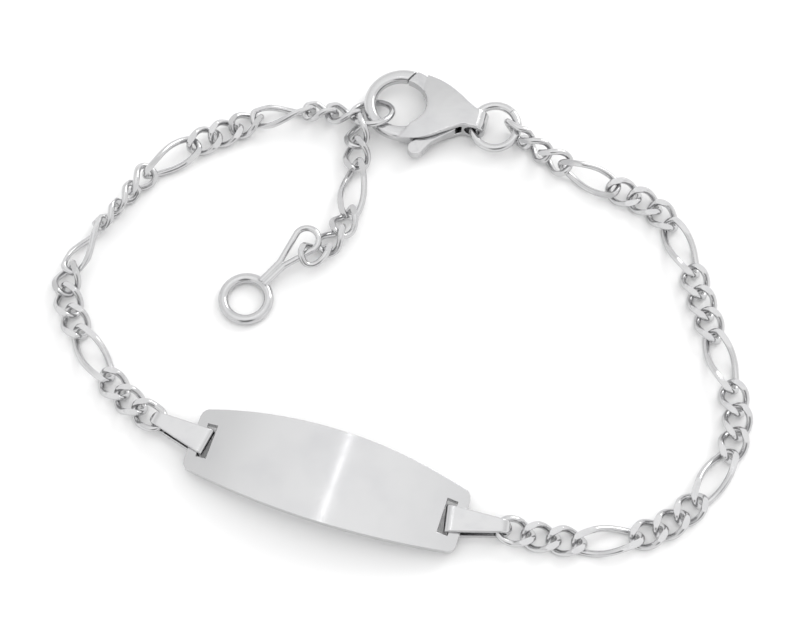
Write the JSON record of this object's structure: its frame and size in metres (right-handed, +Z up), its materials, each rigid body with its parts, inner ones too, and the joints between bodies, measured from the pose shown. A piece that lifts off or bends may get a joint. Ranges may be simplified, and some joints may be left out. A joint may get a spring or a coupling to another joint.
{
  "type": "id bracelet",
  "caption": "Small curved name-plate bracelet laid flat: slotted plate, folded bails, curb chains with short and long links, sprung lever clasp and a short extension with a ring.",
  "frame": {"origin": "middle of the laid-out bracelet in plan, on the surface it lies on", "axes": "+X across the picture to the right, +Y away from the viewer towards the clasp, +Z up off the surface"},
  "size_m": [0.0532, 0.0402, 0.0027],
  "materials": {
    "plate_silver": "mirror polish with fine wear",
    "bail_silver": "polish",
    "chain_silver": "bright cut polish",
    "clasp_silver": "polish",
    "rivet_silver": "polish",
    "lever_silver": "polish",
    "ring_silver": "polish"
  },
  "bodies": {
    "bracelet": {"id_plate": "plate_silver", "bail_left": "bail_silver", "bail_right": "bail_silver", "chain_left": "chain_silver", "chain_right": "chain_silver", "chain_extension": "chain_silver", "clasp_body": "clasp_silver", "clasp_rivet": "rivet_silver", "clasp_jump_ring": "ring_silver", "length_ring": "ring_silver", "end_ring": "ring_silver"},
    "lever": {"clasp_gate": "lever_silver"}
  },
  "joints": [
    {"name": "lever_hinge", "type": "hinge", "parent": "bracelet", "child": "lever", "pos_m": [0.00483, 0.01599, 0.00105], "axis": [0, 0, 1], "range_deg": [0, 12], "stiffness_Nm_per_rad": 0.002, "springref_deg": -17.19}
  ]
}
